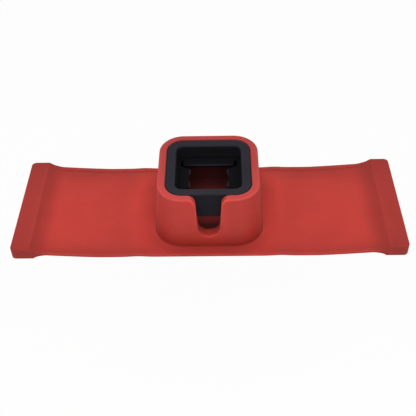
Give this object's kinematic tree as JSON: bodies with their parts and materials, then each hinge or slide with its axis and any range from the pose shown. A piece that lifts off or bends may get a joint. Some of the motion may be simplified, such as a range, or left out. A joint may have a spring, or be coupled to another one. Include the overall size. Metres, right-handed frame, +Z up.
{
  "type": "sofa arm drink holder",
  "caption": "Square silicone drink cup with a mug slot on a strap with weighted ends that lies over a sofa's arm, with a removable insert of flexible grip flaps.",
  "frame": {"origin": "on the surface that the strap lies on, under the middle of the cup", "axes": "+X along the strap, towards its right end as seen from the mug slot; the slot is on the -Y side; +Z up, out of the cup"},
  "size_m": [0.43, 0.1468, 0.0665],
  "materials": {
    "red_silicone": "matte",
    "black_silicone": "matte",
    "weight_steel": "satin"
  },
  "bodies": {
    "base": {"cup_housing": "red_silicone", "strap_centre": "red_silicone"},
    "left_wing": {"strap_inner_left": "red_silicone"},
    "left_end": {"strap_outer_left": "red_silicone", "end_bar_left": "red_silicone", "weight_left": "weight_steel"},
    "right_wing": {"strap_inner_right": "red_silicone"},
    "right_end": {"strap_outer_right": "red_silicone", "end_bar_right": "red_silicone", "weight_right": "weight_steel"},
    "insert": {"insert_frame": "black_silicone"},
    "flap_front": {"grip_flap_front": "black_silicone"},
    "flap_back": {"grip_flap_back": "black_silicone"},
    "flap_left": {"grip_flap_left": "black_silicone"},
    "flap_right": {"grip_flap_right": "black_silicone"}
  },
  "joints": [
    {"name": "left_wing_fold", "type": "hinge", "parent": "base", "child": "left_wing", "pos_m": [-0.08, 0, 0.0015], "axis": [0, -1, 0], "range_deg": [-60, 90]},
    {"name": "left_end_fold", "type": "hinge", "parent": "left_wing", "child": "left_end", "pos_m": [-0.128, 0, 0.0015], "axis": [0, -1, 0], "range_deg": [-30, 45]},
    {"name": "right_wing_fold", "type": "hinge", "parent": "base", "child": "right_wing", "pos_m": [0.08, 0, 0.0015], "axis": [0, 1, 0], "range_deg": [-60, 90]},
    {"name": "right_end_fold", "type": "hinge", "parent": "right_wing", "child": "right_end", "pos_m": [0.128, 0, 0.0015], "axis": [0, 1, 0], "range_deg": [-30, 45]},
    {"name": "insert_lift", "type": "slide", "parent": "base", "child": "insert", "axis": [0, 0, 1], "range_m": [0, 0.08]},
    {"name": "flap_front_bend", "type": "hinge", "parent": "insert", "child": "flap_front", "pos_m": [0, -0.03, 0.049], "axis": [-1, 0, 0], "range_deg": [-12, 60], "stiffness_Nm_per_rad": 0.005},
    {"name": "flap_back_bend", "type": "hinge", "parent": "insert", "child": "flap_back", "pos_m": [0, 0.03, 0.049], "axis": [1, 0, 0], "range_deg": [-12, 60], "stiffness_Nm_per_rad": 0.005},
    {"name": "flap_left_bend", "type": "hinge", "parent": "insert", "child": "flap_left", "pos_m": [-0.03, 0, 0.049], "axis": [0, 1, 0], "range_deg": [-12, 60], "stiffness_Nm_per_rad": 0.005},
    {"name": "flap_right_bend", "type": "hinge", "parent": "insert", "child": "flap_right", "pos_m": [0.03, 0, 0.049], "axis": [0, -1, 0], "range_deg": [-12, 60], "stiffness_Nm_per_rad": 0.005}
  ]
}
